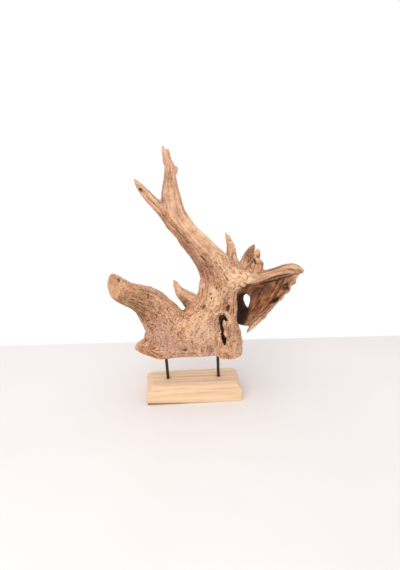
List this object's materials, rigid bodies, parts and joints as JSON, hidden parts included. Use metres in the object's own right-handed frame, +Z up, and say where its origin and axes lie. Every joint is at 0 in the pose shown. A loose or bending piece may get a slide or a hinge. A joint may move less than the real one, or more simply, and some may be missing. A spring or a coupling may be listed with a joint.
{
  "type": "teak root sculpture",
  "caption": "Weathered teak root with a forked limb, a sawn stub and a hollow wing, held by steel pins above a chamfered teak block.",
  "frame": {"origin": "centre of the base block's underside, on the surface that the sculpture stands on", "axes": "+Z up, +X along the block to the viewer's right, -Y towards the viewer"},
  "size_m": [0.4494, 0.1193, 0.5934],
  "materials": {
    "weathered_teak": "weathered, bare, matt, with grain, cracks and old saw cuts",
    "pin_steel": "blackened, satin",
    "planed_teak": "planed pale teak, bare, satin"
  },
  "bodies": {
    "root": {"teak_root": "weathered_teak", "left_pin": "pin_steel", "right_pin": "pin_steel", "base_block": "planed_teak"}
  },
  "joints": []
}
